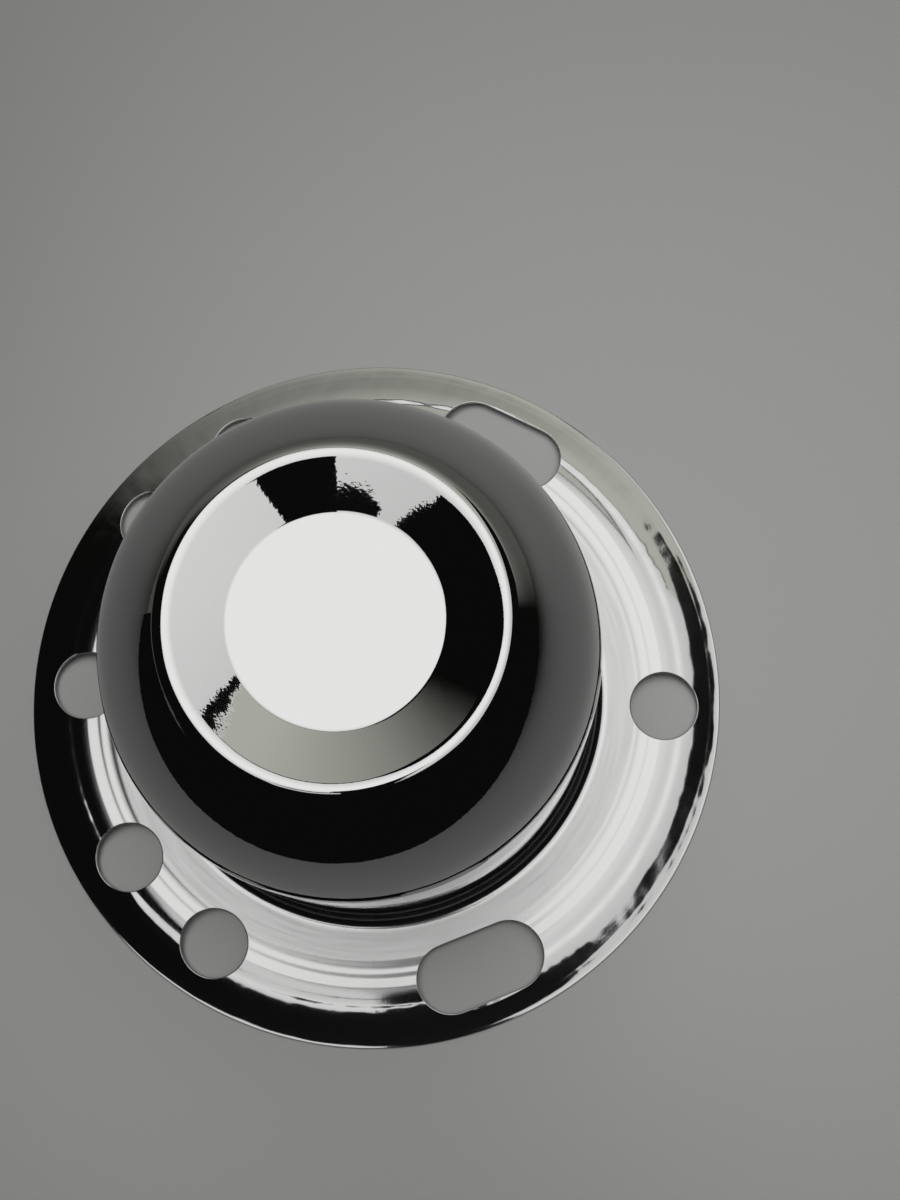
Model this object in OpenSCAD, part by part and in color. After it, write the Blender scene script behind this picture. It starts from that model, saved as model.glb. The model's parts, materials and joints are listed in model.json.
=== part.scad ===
// Push-through center cap for a steel wheel, deep-drawn from one chrome-plated sheet.
// The closed barrel comes through the wheel's center bore from behind, and the pierced
// flange is clamped between the hub and the wheel by the wheel's own studs.
// The cap stands on its flange: the origin is on its axis, at the height of the rim's underside.

/* [Barrel] */
// Outside diameter of the barrel
barrel_d = 106; // [104:0.5:108]
// Height of the straight wall above the clamping face
wall_h = 64; // [30:0.5:90]
// Thickness of the drawn sheet
sheet_t = 1; // [0.8:0.1:1.5]
// Radius of the root bend between the wall and the flange
root_r = 3; // [2:0.5:4]

/* [Nose] */
// Radius of the long shoulder curve
shoulder_r = 48; // [46:0.5:50]
// Slope of the sheet where the shoulder meets the crest, in degrees from level
shoulder_slope = 40; // [37:1:43]
// Radius of the rounded crest ring
crest_r = 4.2; // [3.5:0.1:5]
// Slope of the dish inside the crest, in degrees from level
dish_slope = 19.5; // [15:0.5:22]
// Diameter of the sunk disc, to the middle of its bend
disc_d = 43; // [38:0.5:46]
// Radius of the bend round the disc
disc_bend_r = 3.5; // [2:0.5:5]

/* [Flange] */
// Outside diameter of the flange
flange_d = 166.8; // [166.4:0.2:170]
// Radius at which the inner coined step starts
inner_step_r = 62.6; // [61:0.1:62.8]
// Width of the inner coined step
inner_step_w = 2.8; // [2:0.1:3]
// Depth of the inner coined step
inner_step_drop = 0.27; // [0.1:0.01:0.35]
// Radius at which the faint step inside the narrow land starts
faint_step_r = 66; // [66:0.1:66.4]
// Width of the faint step
faint_step_w = 1.4; // [1:0.1:2]
// Depth of the faint step
faint_step_drop = 0.1; // [0.05:0.01:0.15]

/* [Fall to the rim] */
// Radius at which the narrow land ends and the fall starts
fall_r = 69.2; // [69:0.1:69.4]
// Width of the tight bend at the edge of the land
edge_bend_w = 0.5; // [0.4:0.1:0.8]
// Slope just past the tight bend, in degrees from level
edge_slope = 8.5; // [6:0.5:9]
// Radius at which the upper fall is steepest
upper_r = 72; // [71:0.1:72.5]
// Slope of the upper fall where it is steepest
upper_slope = 12.5; // [10:0.5:15]
// Radius of the crease between the upper fall and the skirt
crease_r = 73.7; // [73.2:0.1:74.4]
// Slope at the crease
crease_slope = 9.7; // [8:0.1:9.9]
// Radius at which the straight part of the skirt starts
skirt_r = 78; // [76:0.1:78.4]
// Slope of the skirt
skirt_slope = 18; // [15:0.5:20]
// Width of the bend between the skirt and the lip
lip_bend_w = 2.6; // [2:0.1:3.5]
// Width of the lip at the rim
lip_w = 0.4; // [0.2:0.1:0.6]
// Slope of the lip
lip_slope = 9.7; // [5:0.1:12]

/* [Stud holes] */
// Diameter of the stud circle, shared by the five-stud and the six-stud pattern
stud_circle_d = 139.7; // [138:0.1:141]
// Diameter of a round hole, and width of a slot
stud_hole_d = 16.1; // [13:0.1:17]

/* [Hidden] */

CHROME = [0.78, 0.79, 0.8];
// Most that a bend's chords may leave its true arc
CHORD_ERROR = 0.01;
CUT_MARGIN = 5;
$fn = 180;

// Each stud pattern starts on the +X axis. Holes that nearly meet are joined by a slot.
FIVE_STUD_PITCH = 360 / 5;
SIX_STUD_PITCH = 360 / 6;
ROUND_HOLES = [
    0,
    2 * FIVE_STUD_PITCH,
    3 * FIVE_STUD_PITCH,
    2 * SIX_STUD_PITCH,
    3 * SIX_STUD_PITCH,
    4 * SIX_STUD_PITCH
];
SLOTS = [
    [SIX_STUD_PITCH, FIVE_STUD_PITCH],
    [4 * FIVE_STUD_PITCH, 5 * SIX_STUD_PITCH]
];

barrel_r = barrel_d / 2;
flange_r = flange_d / 2;

// Turning points of the flange from its clamping ring to its rim, as [radius, slope]. Between two of
// them the sheet bends evenly, or runs straight where their slopes agree.
FLANGE = concat(
    coined_step(inner_step_r, inner_step_w, inner_step_drop),
    coined_step(faint_step_r, faint_step_w, faint_step_drop),
    [
        [fall_r, 0],
        [fall_r + edge_bend_w, edge_slope],
        [upper_r, upper_slope],
        [crease_r, crease_slope],
        [skirt_r, skirt_slope],
        [flange_r - lip_w - lip_bend_w, skirt_slope],
        [flange_r - lip_w, lip_slope],
        [flange_r, lip_slope]
    ]
);

// Heights of the visible face, at the rim, on the clamping ring and where the wall ends
rim_z = sheet_t * cos(lip_slope);
face_z = rim_z + fall_to(len(FLANGE) - 1);
wall_top_z = face_z + wall_h;

// Centers of the bends, as [radius, height], each worked out from the run beside it
root_at = [barrel_r + root_r, face_z + root_r];
shoulder_at = [barrel_r - shoulder_r, wall_top_z];
crest_at = shoulder_at + (shoulder_r - crest_r) * normal(shoulder_slope);
dish_start = crest_at + crest_r * normal(-dish_slope);
disc_z = dish_start[1] - (dish_start[0] - disc_d / 2) * tan(dish_slope);
disc_bend_at = [disc_d / 2 - disc_bend_r * tan(dish_slope / 2), disc_z + disc_bend_r];

// Direction out of the sheet where its slope is tilt degrees, falling outwards
function normal(tilt) = [sin(tilt), cos(tilt)];

// Points along a bend whose slope turns from one tilt to another. A bend that is hollow on the
// visible face has a negative radius. depth measures into the sheet, so that every skin shares
// the bend's center. first is 1 where the bend before it ends on the same point.
function bend(at, radius, from, to, depth, first = 0) =
    let (
        largest_turn = 2 * acos(1 - CHORD_ERROR / abs(radius)),
        count = max(2, ceil(abs(to - from) / largest_turn))
    )
    [for (i = [first:count]) at + (radius - depth) * normal(from + (to - from) * i / count)];

// Turning points of a coined step: two equal bends that lead from one level down to the next
function coined_step(r, width, drop) = [
    [r, 0],
    [r + width / 2, 2 * atan(drop / width)],
    [r + width, 0]
];

// Radius of the bend between two turning points
function turn_radius(a, b) = (b[0] - a[0]) / (sin(b[1]) - sin(a[1]));

// Height that the sheet loses between two turning points
function fall(a, b) =
    a[1] == b[1]
        ? (b[0] - a[0]) * tan(a[1])
        : turn_radius(a, b) * (cos(a[1]) - cos(b[1]));

// Height that the flange loses from its clamping ring to turning point i
function fall_to(i) = i == 0 ? 0 : fall_to(i - 1) + fall(FLANGE[i - 1], FLANGE[i]);

// Place of turning point i on the visible face
function turning_point(i) = [FLANGE[i][0], face_z - fall_to(i)];

// One skin of the flange between turning points i - 1 and i, without its first point
function flange_span(i, depth) =
    let (a = FLANGE[i - 1], b = FLANGE[i])
    a[1] == b[1]
        ? [turning_point(i) - depth * normal(b[1])]
        : let (radius = turn_radius(a, b))
          bend(turning_point(i - 1) - radius * normal(a[1]), radius, a[1], b[1], depth, first = 1);

// One skin of the sheet, from the axis to the rim, at a depth below the visible face
function skin(depth) = concat(
    [[0, disc_z - depth]],
    bend(disc_bend_at, -disc_bend_r, 0, -dish_slope, depth),
    bend(crest_at, crest_r, -dish_slope, shoulder_slope, depth),
    bend(shoulder_at, shoulder_r, shoulder_slope, 90, depth, first = 1),
    bend(root_at, -root_r, 90, 0, depth),
    [turning_point(0) - [0, depth]],
    [for (i = [1:len(FLANGE) - 1]) each flange_span(i, depth)]
);

function reversed(list) = [for (i = [len(list) - 1:-1:0]) list[i]];

// The drawn shell before piercing
module drawn_shell() {
    rotate_extrude()
        polygon(concat(skin(0), reversed(skin(sheet_t))));
}

// Punch for one stud hole, long enough to pass the whole depth of the flange
module hole_punch(angle) {
    rotate(angle)
        translate([stud_circle_d / 2, 0, -CUT_MARGIN])
            cylinder(d = stud_hole_d, h = face_z + 2 * CUT_MARGIN);
}

// Punch for a slot that takes in two neighboring stud positions
module slot_punch(angles) {
    half_angle = (angles[1] - angles[0]) / 2;
    between = stud_circle_d * sin(half_angle);
    from_axis = stud_circle_d / 2 * cos(half_angle);
    for (angle = angles)
        hole_punch(angle);
    rotate((angles[0] + angles[1]) / 2)
        translate([from_axis - stud_hole_d / 2, -between / 2, -CUT_MARGIN])
            cube([stud_hole_d, between, face_z + 2 * CUT_MARGIN]);
}

module center_cap() {
    color(CHROME)
        difference() {
            drawn_shell();
            for (angle = ROUND_HOLES)
                hole_punch(angle);
            for (angles = SLOTS)
                slot_punch(angles);
        }
}

center_cap();
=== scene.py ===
import json
import math

import bmesh
import bpy
import numpy as np
from mathutils import Matrix, Vector


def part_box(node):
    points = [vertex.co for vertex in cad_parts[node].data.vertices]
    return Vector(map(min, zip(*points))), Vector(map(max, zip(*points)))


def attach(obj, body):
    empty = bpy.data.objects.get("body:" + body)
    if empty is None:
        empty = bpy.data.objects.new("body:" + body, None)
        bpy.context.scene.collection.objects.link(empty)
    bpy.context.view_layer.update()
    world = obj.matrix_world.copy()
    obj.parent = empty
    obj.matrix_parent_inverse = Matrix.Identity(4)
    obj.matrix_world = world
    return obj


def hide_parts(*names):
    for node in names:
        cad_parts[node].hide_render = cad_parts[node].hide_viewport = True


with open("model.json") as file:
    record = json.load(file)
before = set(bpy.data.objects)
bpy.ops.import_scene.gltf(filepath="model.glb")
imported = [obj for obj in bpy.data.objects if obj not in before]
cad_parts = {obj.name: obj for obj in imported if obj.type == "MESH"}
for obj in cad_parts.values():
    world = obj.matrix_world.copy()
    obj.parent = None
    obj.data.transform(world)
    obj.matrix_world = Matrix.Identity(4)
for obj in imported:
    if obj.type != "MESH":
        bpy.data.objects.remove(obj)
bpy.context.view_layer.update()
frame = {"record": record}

MM = 0.001

# Driving dimensions, read from the frame
mounts = {mount["name"]: mount for mount in frame["record"]["mounts"]}
cap_low, cap_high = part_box("center_cap")
flange_radius = cap_high.x
barrel_radius = mounts["barrel"]["dims"]["r_mm"] * MM
barrel_middle = mounts["barrel"]["pos_m"][2]
barrel_length = mounts["barrel"]["dims"]["length_mm"] * MM
face_height = mounts["wheel_face"]["pos_m"][2]
sheet = face_height - mounts["hub_face"]["pos_m"][2]
stud_circle_radius = mounts["stud_pair_0_180"]["dims"]["spacing_x_mm"] * MM / 2
stud_hole_radius = mounts["stud_pair_0_180"]["dims"]["hole_r_mm"] * MM

# Section of the nose, from the axis out; slopes are in degrees from level
DISC_RADIUS = 21.5 * MM
DISC_BEND = 3.5 * MM
DISH_SLOPE = 19.5
SHOULDER_SLOPE = 40
SHOULDER_BEND = 48 * MM
ROOT_BEND = 3 * MM

# Crest ring: the one bend that would span it, and the three bends that it is drawn with, as the
# radius of the tight middle one and the slopes where they meet
CREST_BEND = 4.2 * MM
CREST_MIDDLE_BEND = 2.6 * MM
CREST_TURNS = [-DISH_SLOPE, -10, 25, SHOULDER_SLOPE]

# Section of the flange, as (radius, slope) where its bends meet: a coined step, a faint step inside
# the narrow land, and the fall to the rim over a crease, a straight skirt and the lip
LIP_SLOPE = 9.7
LIP_WIDTH = 0.4 * MM
LIP_BEND_WIDTH = 2.6 * MM
SKIRT_SLOPE = 18
FLANGE_BENDS = [
    (62.6 * MM, 0),
    (64 * MM, 11),
    (65.4 * MM, 0),
    (66 * MM, 0),
    (66.7 * MM, 8.2),
    (67.4 * MM, 0),
    (69.2 * MM, 0),
    (69.7 * MM, 8.5),
    (72 * MM, 12.5),
    (73.7 * MM, 9.7),
    (78 * MM, SKIRT_SLOPE),
    (flange_radius - LIP_WIDTH - LIP_BEND_WIDTH, SKIRT_SLOPE),
    (flange_radius - LIP_WIDTH, LIP_SLOPE),
]
RIM_ROUNDING = 0.2 * MM

# Punched holes for five studs and for six: angles of the round ones, and of the pairs that a slot
# joins. The punch rolls the sheet's edge in round each hole.
ROUND_HOLES = [0, 120, 144, 180, 216, 240]
SLOTS = [(60, 72), (288, 300)]
PUNCH_ROLL = 0.28 * MM
PUNCH_ROLL_TURN = 78
PUNCH_ROLL_STEP = PUNCH_ROLL_TURN / 6
PUNCH_REACH = 4 * MM
PUNCH_STEP = 3.75

# How finely the sheet is drawn, in degrees a step and steps a turn
VISIBLE_STEP = 1.6
HIDDEN_STEP = 4
RIM_STEP = 22.5
TURN_STEPS = 288
MERGE = 0.002 * MM

# A face that looks further round than this, in degrees from up, is on the sheet's hidden skin
HIDDEN_FACING = 150

# A stored normal is about 1 long, and one shorter than this was never stored
NO_NORMAL = 0.5

# Colours and least roughness of the plating
CHROME_COLOUR = (0.56, 0.565, 0.57)
CHROME_ROUGHNESS = 0.02
DULL_PLATE_COLOUR = (0.5, 0.495, 0.48)
DULL_PLATE_ROUGHNESS = 0.12

# Heights between which the barrel's finish gives way to the flange's, and two rings of the flange,
# as the radii of their edges and the width over which those edges fade
BARREL_FOOT = (12 * MM, 8 * MM)
CLAMP_RING = (55.6 * MM, 63.6 * MM, 1.2 * MM)
SKIRT_RING = (73 * MM, 83 * MM, 2 * MM)

# Finish across the flange: radii between which it changes, and its values there. The first is the
# share of the flange's finish that the root bend has, and the second is the flange's haze.
ROOT_SHARE = (54.5 * MM, 56.8 * MM, 0.45, 1.0)
FLANGE_HAZE = (69 * MM, 72 * MM, 0.2, 0.05)

# Streaks, as their scale round the axis, their scale along the section and their strength. Strength
# is roughness for the satin and draw streaks, and metres of relief for the rest.
SATIN_ROUGHNESS = 0.04
SATIN_STREAKS = (4.0, 1300.0, 0.16)
DRAW_STREAKS = (40.0, 40.0, 0.14)
SKIRT_WAVES = (13.4, 110.0, 1.4e-4)
SKIRT_HAIRS = (60.0, 90.0, 6e-6)
TURNING_MARKS = (3.0, 1600.0, 1.5e-6)

# Patterns without a direction, as their seed, scale and strength: relief of the chrome in metres,
# and roughness of the dull plating
ORANGE_PEEL = (0.0, 1400.0, 3e-6)
RIPPLE = (3.0, 160.0, 2e-5)
DULL_MOTTLE = (5.0, 90.0, 0.2)

# Levels of detail in a pattern
COARSE = 1.0
FINE = 2.0

# Camera
CAMERA_PLACE = Vector((0.04096, -0.07298, 0.49797 + face_height))
CAMERA_AIM = Vector((0.01726, 0.02487, 0))
PICTURE_TOP = Vector((-0.04194, 1, 0))
CAMERA_LENS = 62.787

# Softbox high over the cap, as the corners (across, along) of its level face, and the distances
# from its middle between which it fades
SOFTBOX_HEIGHT = 2
SOFTBOX_CORNERS = [
    (-0.7, -1.6),
    (2.4, -1.6),
    (2.4, 1.9),
    (-0.4, 1.9),
    (-0.75, 0.4),
    (-1, 0.12),
    (-0.98, -0.58),
    (-0.7, -0.92),
]
SOFTBOX_MIDDLE = (0, 0.3, SOFTBOX_HEIGHT)
SOFTBOX_FADE = (0.3, 1.5)
SOFTBOX_GLOW = 1.36
SOFTBOX_EDGE_GLOW = 0.9
SOFTBOX_COLOUR = (1, 1, 0.975, 1)

# Black cards under the softbox, each as its height and its corners (across, along)
BLACK_CARDS = {
    "front_card": (0.775, [
        (-2, -2),
        (2, -2),
        (2, -0.428),
        (0.155, -0.428),
        (0.155, -0.3),
        (-0.03, -0.3),
        (-0.03, -0.428),
        (-2, -0.428),
    ]),
    "right_card": (0.53, [
        (0.46, 0.9),
        (2, 0.9),
        (2, -1.5),
        (0.33, -1.5),
        (0.33, -0.33),
        (0.375, -0.27),
        (0.425, -0.19),
        (0.46, -0.08),
    ]),
    "small_card": (0.5, [
        (0.078, -0.09),
        (-0.034, -0.09),
        (-0.034, -0.157),
        (-0.128, -0.151),
        (-0.1, -0.2),
        (0.078, -0.2),
    ]),
}

# Low black card on a wide curve in front of the cap
CURVED_CARD_CENTRE = Vector((0.755, 2.975))
CURVED_CARD_RADIUS = 3.307
CURVED_CARD_HEIGHT = 0.13
CURVED_CARD_TURN = math.radians(64)
CURVED_CARD_STEPS = 48

# Wall behind the cap: its top edge, as (across, height), and a black bar just in front of it, over
# the second to the sixth point of that edge
WALL_DISTANCE = 0.98
WALL_TOP = [(6, 2.5), (2, 2.5), (0.65, 1.575), (0.41, 1.406), (0, 1.35), (-0.6, 1.37), (-1, 1.8), (-3, 1.9)]
BAR_TOP = [(2, 2.56), (0.65, 1.635), (0.41, 1.47), (0, 1.46), (-0.6, 1.48)]
BAR_GAP = 0.01
# Colour of the painted light that the walls glow with
WALL_GLOW_COLOUR = (0.98, 1, 0.88, 1)

# Painted light on that wall, which glows though it is no lamp: a main glow that rises across and up it,
# a dim one that falls from its foot, and the stretches at its two ends over which both fade
WALL_GLOW = 0.68
WALL_RISE_ACROSS = (-1.38, 0.35)
WALL_RISE_UP = (0.1, 1.25)
WALL_FOOT_GLOW = 0.12
WALL_FOOT_FALL = (0.3, 1.3)
WALL_LEFT_END = (-3.0, -1.2)
WALL_RIGHT_END = (1.1, 3.5)

# Low wall to the left of the cap: its top edge, as (along, height)
LEFT_WALL_DISTANCE = -2
LEFT_WALL_TOP = [(-3, 0.3), (WALL_DISTANCE, 0.3)]
# Dim painted light that the left wall glows with
LEFT_WALL_GLOW = 0.1

# Glow of the black cloth and of the dark room, and of the backdrop that the camera sees
BLACK_GLOW = 0.005
BACKDROP_GLOW = 0.5

# Floor, up to the feet of the walls, and the fill over it
FLOOR_COLOUR = (0.17, 0.171, 0.166, 1)
FLOOR_ROUGHNESS = 0.34
FLOOR_IOR = 1.95
FLOOR_CORNERS = [
    (LEFT_WALL_DISTANCE, -1.2),
    (4, -1.2),
    (4, WALL_DISTANCE),
    (LEFT_WALL_DISTANCE, WALL_DISTANCE),
]
FILL_PLACE = (0.1, 0.22, 1)
FILL_SIZE = 1
FILL_POWER = 11.5


# Section drawing: each call adds to a chain of edges in the XZ plane and returns its last point
def start_section(bm, height, facing):
    """First point of a skin, on the axis; facing is the way that its outside looks, in degrees from up."""
    tip = bmesh.ops.create_vert(bm, co=(0, 0, height))["vert"][0]
    tip[bm.verts.layers.float["facing"]] = facing
    return tip


def run(bm, tip, across, up):
    """Straight run of the section."""
    end = bmesh.ops.extrude_vert_indiv(bm, verts=[tip])["verts"][0]
    bmesh.ops.translate(bm, verts=[end], vec=(across, 0, up))
    return end


def run_to(bm, tip, radius):
    """Straight run on to a radius, square to the way that the section faces."""
    slope = math.radians(tip[bm.verts.layers.float["facing"]])
    across = radius - tip.co.x
    return run(bm, tip, across, -across * math.tan(slope))


def bend(bm, tip, centre, turn, step):
    """Bend of the section about a centre (radius, height), by turn degrees, downwards if positive."""
    layer = bm.verts.layers.float["facing"]
    facing = tip[layer]
    steps = max(2, math.ceil(abs(turn) / step))
    drawn = len(bm.verts)
    bmesh.ops.spin(bm, geom=[tip], cent=(centre[0], 0, centre[1]), axis=(0, 1, 0), dvec=(0, 0, 0),
                   angle=math.radians(turn), steps=steps, use_merge=False)
    bm.verts.ensure_lookup_table()
    points = bm.verts[drawn:]
    for count, point in enumerate(points, 1):
        point[layer] = facing + turn * count / steps
    return points[-1]


def lean(slope):
    """Direction out of the sheet, as (radius, height), where the sheet falls outwards by slope."""
    return Vector((math.sin(math.radians(slope)), math.cos(math.radians(slope))))


# Centres of the bends, as (radius, height)
wall_top = barrel_middle + barrel_length / 2
shoulder_centre = Vector((barrel_radius - SHOULDER_BEND, wall_top))
crest_centre = shoulder_centre + (SHOULDER_BEND - CREST_BEND) * lean(SHOULDER_SLOPE)
dish_top = crest_centre + CREST_BEND * lean(-DISH_SLOPE)
disc_height = dish_top.y - (dish_top.x - DISC_RADIUS) * math.tan(math.radians(DISH_SLOPE))
disc_bend_start = DISC_RADIUS - DISC_BEND * math.tan(math.radians(DISH_SLOPE / 2))
disc_bend_centre = Vector((disc_bend_start, disc_height + DISC_BEND))
root_centre = Vector((barrel_radius + ROOT_BEND, face_height + ROOT_BEND))
into_sheet = -lean(LIP_SLOPE)
rim_point = Vector((flange_radius, cap_low.z - sheet * into_sheet.y))
rim_start = rim_point + RIM_ROUNDING * Vector((into_sheet.y, -into_sheet.x))


def crest_bends():
    """Radii of the crest's three bends: the outer two close it between the dish and the shoulder."""
    leans = [lean(slope) for slope in CREST_TURNS]
    first, middle, last = [after - before for before, after in zip(leans, leans[1:])]
    left = CREST_BEND * (leans[-1] - leans[0]) - CREST_MIDDLE_BEND * middle
    determinant = first.cross(last)
    return left.cross(last) / determinant, CREST_MIDDLE_BEND, first.cross(left) / determinant


def draw_crest(bm, tip, step):
    """Crest ring: a tight bend between two wider ones, from the dish to the shoulder."""
    place = dish_top
    for radius, slope, end_slope in zip(crest_bends(), CREST_TURNS, CREST_TURNS[1:]):
        centre = place - radius * lean(slope)
        tip = bend(bm, tip, centre, end_slope - slope, step)
        place = centre + radius * lean(end_slope)
    return tip


def draw_flange(bm, tip, depth, step):
    """Flange of a skin from the clamping ring to the rim, bend by bend."""
    level = face_height
    tip = run_to(bm, tip, FLANGE_BENDS[0][0])
    for (start, slope), (end, end_slope) in zip(FLANGE_BENDS, FLANGE_BENDS[1:]):
        if slope == end_slope:
            tip = run_to(bm, tip, end - depth * lean(slope).x)
            level -= (end - start) * math.tan(math.radians(slope))
        else:
            radius = (end - start) / (lean(end_slope).x - lean(slope).x)
            tip = bend(bm, tip, Vector((start, level)) - radius * lean(slope), end_slope - slope, step)
            level -= radius * (lean(slope).y - lean(end_slope).y)
    return run_to(bm, tip, rim_start.x + depth * into_sheet.x)


def draw_skin(bm, depth, facing, step):
    """One skin of the sheet from the axis to the rim, at a depth below the visible face."""
    tip = start_section(bm, disc_height - depth, facing)
    tip = run_to(bm, tip, disc_bend_start)
    tip = bend(bm, tip, disc_bend_centre, -DISH_SLOPE, step)
    tip = run_to(bm, tip, dish_top.x - depth * lean(-DISH_SLOPE).x)
    tip = draw_crest(bm, tip, step)
    tip = bend(bm, tip, shoulder_centre, 90 - SHOULDER_SLOPE, step)
    tip = run(bm, tip, 0, root_centre.y - tip.co.z)
    tip = bend(bm, tip, root_centre, -90, 2 * step)
    return draw_flange(bm, tip, depth, step)


def draw_rim(bm, tip):
    """Sheared edge of the rim, square to the sheet, from the visible face round to the underside."""
    flat = sheet - 2 * RIM_ROUNDING
    tip = bend(bm, tip, rim_start + RIM_ROUNDING * into_sheet, 90, RIM_STEP)
    tip = run(bm, tip, *(flat * into_sheet))
    return bend(bm, tip, rim_start + (sheet - RIM_ROUNDING) * into_sheet, 90, RIM_STEP)


def on_flange_face(place):
    """Whether a point of the visible skin is on the flange."""
    return place.x >= root_centre.x and place.z < root_centre.y


def spin_shell():
    """The drawn shell before piercing, and its flange's visible face as points of the section."""
    bm = bmesh.new()
    facing = bm.verts.layers.float.new("facing")
    rim = draw_skin(bm, 0, 0, VISIBLE_STEP)
    flange_face = [vert.co.copy() for vert in bm.verts if on_flange_face(vert.co)]
    draw_rim(bm, rim)
    draw_skin(bm, sheet, 180, HIDDEN_STEP)
    bmesh.ops.remove_doubles(bm, verts=bm.verts, dist=MERGE)
    bmesh.ops.spin(bm, geom=bm.verts[:] + bm.edges[:], cent=(0, 0, 0), axis=(0, 0, 1), dvec=(0, 0, 0),
                   angle=2 * math.pi, steps=TURN_STEPS, use_merge=True)
    bmesh.ops.remove_doubles(bm, verts=bm.verts, dist=MERGE)
    bmesh.ops.recalc_face_normals(bm, faces=bm.faces)
    for face in bm.faces:
        face.smooth = True
        face.material_index = int(min(vert[facing] for vert in face.verts) > HIDDEN_FACING)
    return as_object(bm, "plated_cap"), flange_face


def as_object(bm, name):
    """Object with the drawn mesh, placed as it was drawn."""
    mesh = bpy.data.meshes.new(name)
    bm.to_mesh(mesh)
    bm.free()
    made = bpy.data.objects.new(name, mesh)
    bpy.context.scene.collection.objects.link(made)
    return made


def keep_true_normals(mesh):
    """Stores the sheet's true normal at each corner, from the way that its section faces."""
    places = np.zeros(len(mesh.vertices) * 3)
    mesh.vertices.foreach_get("co", places)
    places = places.reshape(-1, 3)
    facing = np.zeros(len(mesh.vertices))
    mesh.attributes["facing"].data.foreach_get("value", facing)
    facing = np.radians(facing)
    azimuth = np.arctan2(places[:, 1], places[:, 0])
    outwards = np.sin(facing)
    normals = np.stack([np.cos(azimuth) * outwards, np.sin(azimuth) * outwards, np.cos(facing)], 1)
    corners = np.zeros(len(mesh.loops), np.int32)
    mesh.loops.foreach_get("vertex_index", corners)
    kept = mesh.attributes.new("true_normal", "FLOAT_VECTOR", "CORNER")
    kept.data.foreach_set("vector", normals[corners].astype(np.float32).ravel())


def shade_by_true_normals(mesh):
    """Shades by the stored normals, and by the mesh's own ones in the punched edges, which have none."""
    true = np.zeros(len(mesh.loops) * 3, np.float32)
    mesh.attributes["true_normal"].data.foreach_get("vector", true)
    true = true.reshape(-1, 3)
    own = np.array([corner.vector for corner in mesh.corner_normals])
    length = np.linalg.norm(true, axis=1)
    known = length > NO_NORMAL
    own[known] = true[known] / length[known][:, None]
    mesh.attributes.remove(mesh.attributes["true_normal"])
    mesh.normals_split_custom_set(own.tolist())


# Punches
def draw_punch_side(bm):
    """Half section of a punch: its foot, its side and the roll that it leaves round the hole."""
    tip = start_section(bm, -PUNCH_REACH, -90)
    tip = run(bm, tip, stud_hole_radius, 0)
    tip = run(bm, tip, 0, PUNCH_REACH - PUNCH_ROLL)
    tip = bend(bm, tip, (stud_hole_radius + PUNCH_ROLL, -PUNCH_ROLL), PUNCH_ROLL_TURN, PUNCH_ROLL_STEP)
    tip = run_to(bm, tip, tip.co.x + PUNCH_REACH / 2)
    tip = run(bm, tip, 0, PUNCH_REACH)
    return run(bm, tip, -tip.co.x, 0)


def of_kind(parts, *kinds):
    """Those parts of a mesh that are of the given kinds."""
    return [part for part in parts if isinstance(part, kinds)]


def spin_punch(pair):
    """Punch for a pair of stud positions, given as their angles; a round hole's pair is one angle twice."""
    bm = bmesh.new()
    bm.verts.layers.float.new("facing")
    draw_punch_side(bm)
    half_angle = math.radians(pair[1] - pair[0]) / 2
    half_run = stud_circle_radius * math.sin(half_angle)
    side = bm.verts[:] + bm.edges[:]
    bmesh.ops.translate(bm, verts=bm.verts[:], vec=(0, -half_run, 0))
    for way in (1, -1):
        if half_run:
            edges = of_kind(side, bmesh.types.BMEdge)
            swept = bmesh.ops.extrude_edge_only(bm, edges=edges)["geom"]
            moved = of_kind(swept, bmesh.types.BMVert)
            bmesh.ops.translate(bm, verts=moved, vec=(0, 2 * half_run * way, 0))
            side = of_kind(swept, bmesh.types.BMVert, bmesh.types.BMEdge)
        swept = bmesh.ops.spin(bm, geom=side, cent=(0, half_run * way, 0), axis=(0, 0, 1), dvec=(0, 0, 0),
                               angle=math.pi, steps=round(180 / PUNCH_STEP), use_merge=False)["geom_last"]
        side = of_kind(swept, bmesh.types.BMVert, bmesh.types.BMEdge)
    bmesh.ops.remove_doubles(bm, verts=bm.verts, dist=MERGE)
    bmesh.ops.recalc_face_normals(bm, faces=bm.faces)
    bmesh.ops.translate(bm, verts=bm.verts, vec=(stud_circle_radius * math.cos(half_angle), 0, 0))
    bmesh.ops.rotate(bm, verts=bm.verts, matrix=Matrix.Rotation(math.radians(sum(pair) / 2), 3, "Z"))
    return bm


def make_punches(flange_face):
    """All punches in one object, each set to the height of the flange round its hole."""
    radii = [point.x for point in flange_face]
    heights = [point.z for point in flange_face]
    together = bmesh.new()
    for pair in [(angle, angle) for angle in ROUND_HOLES] + SLOTS:
        bm = spin_punch(pair)
        for vert in bm.verts:
            vert.co.z += float(np.interp(vert.co.xy.length, radii, heights))
        for face in bm.faces:
            face.smooth = True
        mesh = bpy.data.meshes.new("punch")
        bm.to_mesh(mesh)
        bm.free()
        together.from_mesh(mesh)
        bpy.data.meshes.remove(mesh)
    return as_object(together, "punches")


def pierce(shell, punches):
    """Cuts the stud holes and keeps the result as the shell's own mesh."""
    cut = shell.modifiers.new("pierce", "BOOLEAN")
    cut.operation = "DIFFERENCE"
    cut.solver = "MANIFOLD"
    cut.object = punches
    graph = bpy.context.evaluated_depsgraph_get()
    pierced = bpy.data.meshes.new_from_object(shell.evaluated_get(graph), preserve_all_data_layers=True,
                                              depsgraph=graph)
    shell.modifiers.clear()
    shell.data = pierced
    bpy.data.objects.remove(punches)


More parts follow.
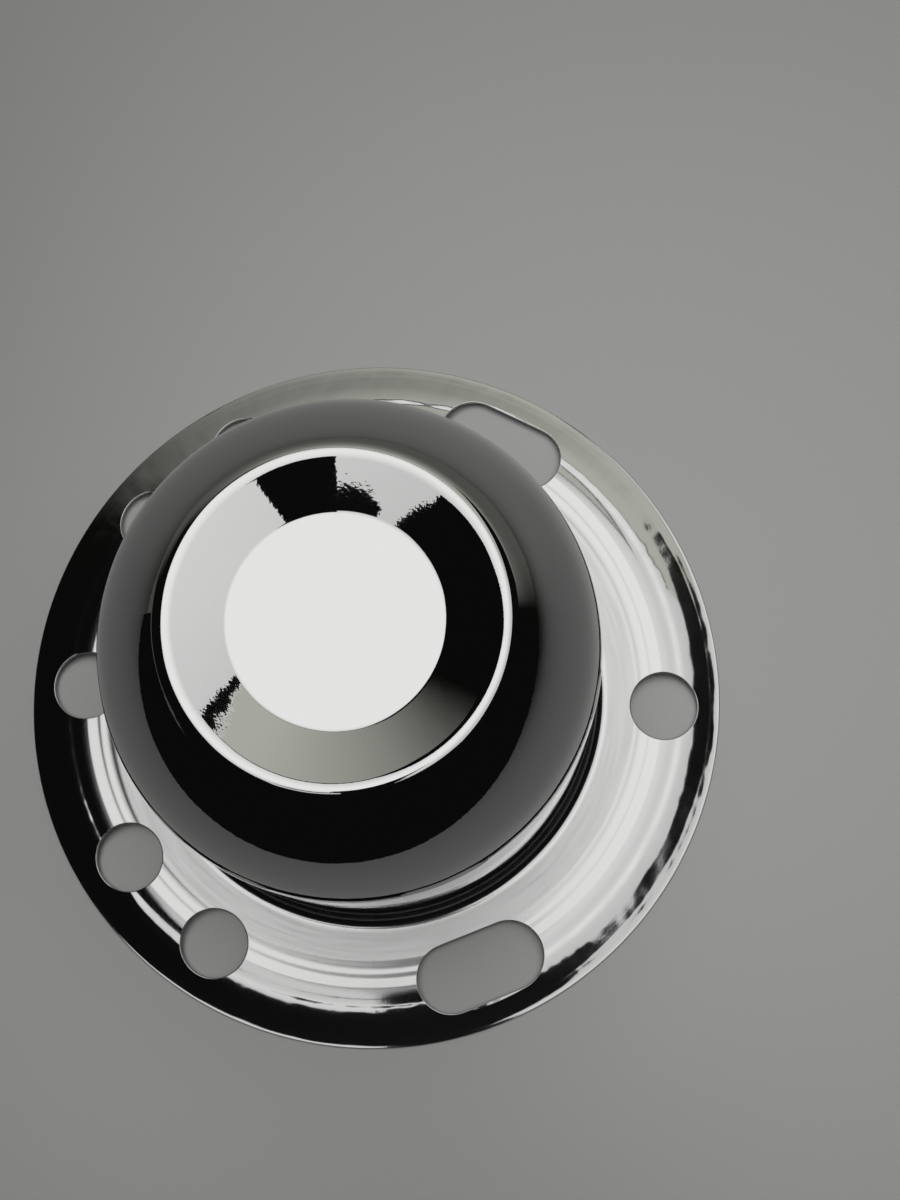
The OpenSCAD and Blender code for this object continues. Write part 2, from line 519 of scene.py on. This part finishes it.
# Material nodes
def add_node(tree, kind, inputs=None, **settings):
    """A node with its settings, and its inputs set or linked."""
    made = tree.nodes.new(kind)
    for name, value in settings.items():
        setattr(made, name, value)
    for socket, value in (inputs or {}).items():
        if isinstance(value, bpy.types.NodeSocket):
            tree.links.new(value, made.inputs[socket])
        else:
            made.inputs[socket].default_value = value
    return made


def product(tree, first, second):
    """First times second."""
    return add_node(tree, "ShaderNodeMath", {0: first, 1: second}, operation="MULTIPLY").outputs[0]


def total(tree, first, *others):
    """Sum of all the values."""
    for other in others:
        first = add_node(tree, "ShaderNodeMath", {0: first, 1: other}, operation="ADD").outputs[0]
    return first


def fade(tree, value, start, end, low=0.0, high=1.0):
    """Smooth change from low to high while value goes from start to end."""
    inputs = {"Value": value, "From Min": start, "From Max": end, "To Min": low, "To Max": high}
    made = add_node(tree, "ShaderNodeMapRange", inputs, interpolation_type="SMOOTHSTEP")
    return made.outputs["Result"]


def band(tree, value, start, end, edge):
    """1 between start and end, with soft edges inside them."""
    rising = fade(tree, value, start, start + edge)
    falling = fade(tree, value, end - edge, end, 1.0, 0.0)
    return product(tree, rising, falling)


def object_place(tree):
    """Place on the object that carries the material."""
    return add_node(tree, "ShaderNodeTexCoord").outputs["Object"]


def make_place_group():
    """Shared: where a point is on the cap, as its radius, its height and its direction from the axis."""
    group = bpy.data.node_groups.new("place_on_cap", "ShaderNodeTree")
    group.interface.new_socket("Radius", in_out="OUTPUT", socket_type="NodeSocketFloat")
    group.interface.new_socket("Height", in_out="OUTPUT", socket_type="NodeSocketFloat")
    group.interface.new_socket("Direction", in_out="OUTPUT", socket_type="NodeSocketVector")
    parts = add_node(group, "ShaderNodeSeparateXYZ", {0: object_place(group)}).outputs
    level = add_node(group, "ShaderNodeCombineXYZ", {"X": parts["X"], "Y": parts["Y"]}).outputs[0]
    radius = add_node(group, "ShaderNodeVectorMath", {0: level}, operation="LENGTH").outputs["Value"]
    direction = add_node(group, "ShaderNodeVectorMath", {0: level}, operation="NORMALIZE").outputs["Vector"]
    outputs = add_node(group, "NodeGroupOutput")
    group.links.new(radius, outputs.inputs["Radius"])
    group.links.new(parts["Z"], outputs.inputs["Height"])
    group.links.new(direction, outputs.inputs["Direction"])
    return group


def plate_material(name, colour):
    """A metal material and its shader, whose roughness is still to be linked."""
    material = bpy.data.materials.new(name)
    material.use_nodes = True
    shader = material.node_tree.nodes["Principled BSDF"]
    shader.inputs["Base Color"].default_value = (*colour, 1)
    shader.inputs["Metallic"].default_value = 1
    return material, shader


def random_pattern(tree, vector, seed, scale, strength, detail=COARSE):
    """Random pattern from 0 to strength, the same in all directions."""
    inputs = {"Vector": vector, "W": seed, "Scale": scale, "Detail": detail}
    noise = add_node(tree, "ShaderNodeTexNoise", inputs, noise_dimensions="4D")
    return product(tree, noise.outputs["Fac"], strength)


def streak_pattern(tree, place, along, scale_round, scale_along, strength, detail=COARSE):
    """Random pattern from 0 to strength, scaled apart round the axis and along the radius or height."""
    inputs = {0: place.outputs["Direction"], "Scale": scale_round}
    direction = add_node(tree, "ShaderNodeVectorMath", inputs, operation="SCALE").outputs["Vector"]
    measure = product(tree, place.outputs[along], scale_along)
    return random_pattern(tree, direction, measure, 1.0, strength, detail)


def make_chrome(place_group):
    """Bright chrome plate: a mirror on the nose, hazier on the flange and satin on the clamping ring."""
    material, shader = plate_material("chrome_plate", CHROME_COLOUR)
    tree = material.node_tree
    point = object_place(tree)
    place = add_node(tree, "ShaderNodeGroup", node_tree=place_group)
    radius = place.outputs["Radius"]
    on_flange = fade(tree, place.outputs["Height"], *BARREL_FOOT)
    off_root = product(tree, on_flange, fade(tree, radius, *ROOT_SHARE))
    clamp_ring = product(tree, band(tree, radius, *CLAMP_RING), on_flange)
    skirt = product(tree, band(tree, radius, *SKIRT_RING), on_flange)

    haze = product(tree, off_root, fade(tree, radius, *FLANGE_HAZE))
    streaks = streak_pattern(tree, place, "Radius", *SATIN_STREAKS, FINE)
    satin = product(tree, clamp_ring, total(tree, streaks, SATIN_ROUGHNESS))
    tree.links.new(total(tree, haze, satin, CHROME_ROUGHNESS), shader.inputs["Roughness"])

    peel = random_pattern(tree, point, *ORANGE_PEEL)
    ripple = random_pattern(tree, point, *RIPPLE)
    waves = streak_pattern(tree, place, "Radius", *SKIRT_WAVES)
    hairs = streak_pattern(tree, place, "Radius", *SKIRT_HAIRS)
    skirt_relief = product(tree, total(tree, waves, hairs), skirt)
    turning_marks = product(tree, streak_pattern(tree, place, "Radius", *TURNING_MARKS), off_root)
    relief = total(tree, peel, ripple, skirt_relief, turning_marks)
    bump = add_node(tree, "ShaderNodeBump", {"Height": relief, "Distance": 1.0, "Strength": 1.0})
    tree.links.new(bump.outputs["Normal"], shader.inputs["Normal"])
    return material


def make_dull_plate(place_group):
    """Thin, dull plating of the hidden skin, mottled and streaked along the way that it was drawn."""
    material, shader = plate_material("dull_plate", DULL_PLATE_COLOUR)
    tree = material.node_tree
    place = add_node(tree, "ShaderNodeGroup", node_tree=place_group)
    mottle = random_pattern(tree, object_place(tree), *DULL_MOTTLE, FINE)
    streaks = streak_pattern(tree, place, "Height", *DRAW_STREAKS, FINE)
    tree.links.new(total(tree, mottle, streaks, DULL_PLATE_ROUGHNESS), shader.inputs["Roughness"])
    return material


# Studio
def draw_flat(corners):
    """Flat face with the given corners."""
    bm = bmesh.new()
    tip = bmesh.ops.create_vert(bm, co=corners[0])["vert"][0]
    for start, end in zip(corners, corners[1:] + corners[:1]):
        tip = bmesh.ops.extrude_vert_indiv(bm, verts=[tip])["verts"][0]
        bmesh.ops.translate(bm, verts=[tip], vec=Vector(end) - Vector(start))
    bmesh.ops.remove_doubles(bm, verts=bm.verts, dist=MERGE)
    bmesh.ops.edgeloop_fill(bm, edges=bm.edges)
    return bm


def draw_curved_card():
    """Upright strip on a wide curve, whose middle is straight in front of the curve's centre."""
    bm = bmesh.new()
    centre = (*CURVED_CARD_CENTRE, 0)
    foot = bmesh.ops.create_vert(bm, co=(centre[0], centre[1] - CURVED_CARD_RADIUS, 0))["vert"][0]
    top = bmesh.ops.extrude_vert_indiv(bm, verts=[foot])["verts"]
    bmesh.ops.translate(bm, verts=top, vec=(0, 0, CURVED_CARD_HEIGHT))
    to_start = Matrix.Rotation(-CURVED_CARD_TURN / 2, 3, "Z")
    bmesh.ops.rotate(bm, verts=bm.verts, cent=centre, matrix=to_start)
    bmesh.ops.spin(bm, geom=bm.verts[:] + bm.edges[:], cent=centre, axis=(0, 0, 1), dvec=(0, 0, 0),
                   angle=CURVED_CARD_TURN, steps=CURVED_CARD_STEPS, use_merge=False)
    return bm


def as_stage(bm, name, material):
    """Makes a piece of the studio, which isn't part of the cap."""
    made = as_object(bm, name)
    made.data.materials.append(material)
    return made


def make_card(name, bm, material):
    """Card that only the chrome and the floor reflect."""
    card = as_stage(bm, name, material)
    card.visible_camera = False
    card.visible_diffuse = False
    card.visible_shadow = False


def level_corners(outline, height):
    """Corners of a level face from its outline (across, along)."""
    return [(across, along, height) for across, along in outline]


def back_corners(outline, distance):
    """Corners of an upright face behind the cap from its outline (across, height)."""
    return [(across, distance, height) for across, height in outline]


def left_corners(outline, distance):
    """Corners of an upright face to the left of the cap from its outline (along, height)."""
    return [(distance, along, height) for along, height in outline]


def down_to_floor(top):
    """Outline of a wall from its top edge."""
    return top + [(top[-1][0], 0), (top[0][0], 0)]


def glow_material(name, colour=(1, 1, 1, 1)):
    """A glowing material and its shader, whose strength is still to be given."""
    material = bpy.data.materials.new(name)
    material.use_nodes = True
    tree = material.node_tree
    tree.nodes.remove(tree.nodes["Principled BSDF"])
    glow = add_node(tree, "ShaderNodeEmission", {"Color": colour})
    tree.links.new(glow.outputs[0], tree.nodes["Material Output"].inputs["Surface"])
    return material, glow


def make_softbox():
    """Overhead softbox, brightest in its middle."""
    material, glow = glow_material("softbox_cloth", SOFTBOX_COLOUR)
    tree = material.node_tree
    from_middle = add_node(tree, "ShaderNodeVectorMath", {0: object_place(tree), 1: SOFTBOX_MIDDLE},
                           operation="DISTANCE").outputs["Value"]
    level = fade(tree, from_middle, *SOFTBOX_FADE, SOFTBOX_GLOW, SOFTBOX_EDGE_GLOW)
    tree.links.new(level, glow.inputs["Strength"])
    make_card("softbox", draw_flat(level_corners(SOFTBOX_CORNERS, SOFTBOX_HEIGHT)), material)


def make_back_wall():
    """Wall behind the cap, shown grey by the painted light that it glows with, brighter towards its top
    right and dimmer towards its ends.
    """
    material, glow = glow_material("back_wall_painted_light", WALL_GLOW_COLOUR)
    tree = material.node_tree
    parts = add_node(tree, "ShaderNodeSeparateXYZ", {0: object_place(tree)}).outputs
    # Painted light: the wall's glow rises to the right and up, and a dim glow falls from its foot
    to_the_right = fade(tree, parts["X"], *WALL_RISE_ACROSS)
    upwards = fade(tree, parts["Z"], *WALL_RISE_UP, 0.0, WALL_GLOW)
    near_foot = fade(tree, parts["Z"], *WALL_FOOT_FALL, WALL_FOOT_GLOW, 0.0)
    left_end = fade(tree, parts["X"], *WALL_LEFT_END)
    right_end = fade(tree, parts["X"], *WALL_RIGHT_END, 1.0, 0.0)
    level = total(tree, product(tree, to_the_right, upwards), near_foot)
    level = product(tree, level, product(tree, left_end, right_end))
    tree.links.new(total(tree, level, BLACK_GLOW), glow.inputs["Strength"])
    outline = down_to_floor(WALL_TOP)
    make_card("back_wall", draw_flat(back_corners(outline, WALL_DISTANCE)), material)


def make_left_wall():
    """Low wall to the left of the cap, which glows dimly with painted light."""
    material, glow = glow_material("left_wall_painted_light", WALL_GLOW_COLOUR)
    glow.inputs["Strength"].default_value = LEFT_WALL_GLOW
    outline = down_to_floor(LEFT_WALL_TOP)
    make_card("left_wall", draw_flat(left_corners(outline, LEFT_WALL_DISTANCE)), material)


def make_black_cards():
    """Black cards that cut the softbox, the bar along the top of the back wall, and the curved card."""
    material, glow = glow_material("black_cloth")
    glow.inputs["Strength"].default_value = BLACK_GLOW
    for name, (height, outline) in BLACK_CARDS.items():
        make_card(name, draw_flat(level_corners(outline, height)), material)
    bar = WALL_TOP[1:1 + len(BAR_TOP)] + BAR_TOP[::-1]
    make_card("wall_bar", draw_flat(back_corners(bar, WALL_DISTANCE - BAR_GAP)), material)
    make_card("curved_card", draw_curved_card(), material)


def make_floor():
    """Grey board under the cap, up to the feet of the walls."""
    material = bpy.data.materials.new("floor_board")
    material.use_nodes = True
    shader = material.node_tree.nodes["Principled BSDF"]
    shader.inputs["Base Color"].default_value = FLOOR_COLOUR
    shader.inputs["Roughness"].default_value = FLOOR_ROUGHNESS
    shader.inputs["IOR"].default_value = FLOOR_IOR
    as_stage(draw_flat(level_corners(FLOOR_CORNERS, cap_low.z)), "floor", material)


def make_fill():
    """Soft overhead fill that brings the floor to a plain level without showing in the chrome."""
    data = bpy.data.lights.new("fill", "AREA")
    data.shape = "DISK"
    data.size = FILL_SIZE
    data.energy = FILL_POWER
    fill = bpy.data.objects.new("fill", data)
    fill.location = FILL_PLACE
    fill.visible_glossy = False
    bpy.context.scene.collection.objects.link(fill)


def make_world():
    """Dark room round the studio, which the camera sees as a pale backdrop."""
    world = bpy.data.worlds.new("studio")
    world.use_nodes = True
    tree = world.node_tree
    seen = add_node(tree, "ShaderNodeLightPath").outputs["Is Camera Ray"]
    background = tree.nodes["Background"]
    background.inputs["Color"].default_value = (1, 1, 1, 1)
    tree.links.new(fade(tree, seen, 0.0, 1.0, BLACK_GLOW, BACKDROP_GLOW), background.inputs["Strength"])
    bpy.context.scene.world = world


def make_camera():
    """Camera over the front of the cap, with the top of the picture towards the back."""
    data = bpy.data.cameras.new("camera")
    data.lens = CAMERA_LENS
    camera = bpy.data.objects.new("camera", data)
    back = (CAMERA_PLACE - CAMERA_AIM).normalized()
    right = PICTURE_TOP.cross(back).normalized()
    up = back.cross(right)
    turn = Matrix((right, up, back)).transposed()
    camera.matrix_world = Matrix.Translation(CAMERA_PLACE) @ turn.to_4x4()
    bpy.context.scene.collection.objects.link(camera)
    bpy.context.scene.camera = camera


make_camera()
make_world()
make_floor()
make_softbox()
make_back_wall()
make_left_wall()
make_black_cards()
make_fill()

cap, flange_face = spin_shell()
keep_true_normals(cap.data)
pierce(cap, make_punches(flange_face))
shade_by_true_normals(cap.data)
cap.data.materials.clear()
place_group = make_place_group()
cap.data.materials.append(make_chrome(place_group))
cap.data.materials.append(make_dull_plate(place_group))

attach(cap, "root")
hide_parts("center_cap")

bpy.context.scene.view_settings.view_transform = "Standard"
